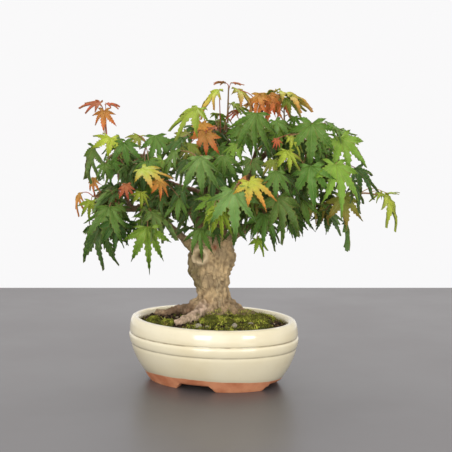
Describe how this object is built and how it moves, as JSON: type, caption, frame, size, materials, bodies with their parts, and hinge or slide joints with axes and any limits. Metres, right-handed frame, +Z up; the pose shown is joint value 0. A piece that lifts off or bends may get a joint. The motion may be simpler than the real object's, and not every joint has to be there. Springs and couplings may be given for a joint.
{
  "type": "bonsai maple in pot",
  "caption": "Small palmate-leaved maple trained as a bonsai: stout scarred trunk, surface roots, leafy shoots on limbs all round, mossy soil, oval glazed pot on unglazed feet.",
  "frame": {"origin": "on the table, under the middle of the whole plant's box", "axes": "+Z up, +X along the pot's long side, -Y towards the pot's front long side; the tree's best side is turned 22.5 degrees towards +X from -Y"},
  "size_m": [0.287, 0.2174, 0.2866],
  "materials": {
    "glaze": "glossy cream glaze, bare terracotta at the foot",
    "mesh_plastic": "black plastic mesh",
    "wire": "plain soft wire",
    "soil": "dark granular soil",
    "moss": "velvety green moss",
    "pumice": "pale porous grit",
    "bark": "grey-brown bark with pale callus",
    "maple_leaf": "satin leaf, green with lime, orange and red young growth"
  },
  "bodies": {
    "root": {"pot": "glaze", "drain_screen_left": "mesh_plastic", "drain_screen_right": "mesh_plastic", "screen_clip_left": "wire", "screen_clip_right": "wire", "soil": "soil", "moss_1": "moss", "moss_2": "moss", "moss_3": "moss", "moss_4": "moss", "moss_5": "moss", "moss_6": "moss", "moss_7": "moss", "stone_1": "pumice", "stone_2": "pumice", "stone_3": "pumice", "stone_4": "pumice", "trunk": "bark", "shoot_crest_far_left": "maple_leaf", "shoot_high_left": "maple_leaf", "shoot_shoulder_left": "maple_leaf", "shoot_tip_left": "maple_leaf", "shoot_skirt_left": "maple_leaf", "shoot_low_left": "maple_leaf", "shoot_heart_left": "maple_leaf", "shoot_crest_west": "maple_leaf", "shoot_crest_fork": "maple_leaf", "shoot_crest_leader": "maple_leaf", "shoot_crest_crown": "maple_leaf", "shoot_crest_east": "maple_leaf", "shoot_high_right": "maple_leaf", "shoot_outer_right": "maple_leaf", "shoot_face_right": "maple_leaf", "shoot_shoulder_right": "maple_leaf", "shoot_reach_right": "maple_leaf", "shoot_skirt_right": "maple_leaf", "shoot_face_left": "maple_leaf", "shoot_face_centre": "maple_leaf", "shoot_south_right": "maple_leaf", "shoot_south_centre": "maple_leaf", "shoot_trunk_sprig": "maple_leaf", "shoot_low_right": "maple_leaf", "shoot_under_right": "maple_leaf", "shoot_back_top": "maple_leaf", "shoot_back_centre": "maple_leaf", "shoot_back_low": "maple_leaf", "shoot_back_right": "maple_leaf", "shoot_back_right_low": "maple_leaf", "shoot_back_left": "maple_leaf", "shoot_back_left_low": "maple_leaf", "shoot_back_crown": "maple_leaf", "shoot_back_high_left": "maple_leaf", "shoot_back_shoulder": "maple_leaf"}
  },
  "joints": []
}
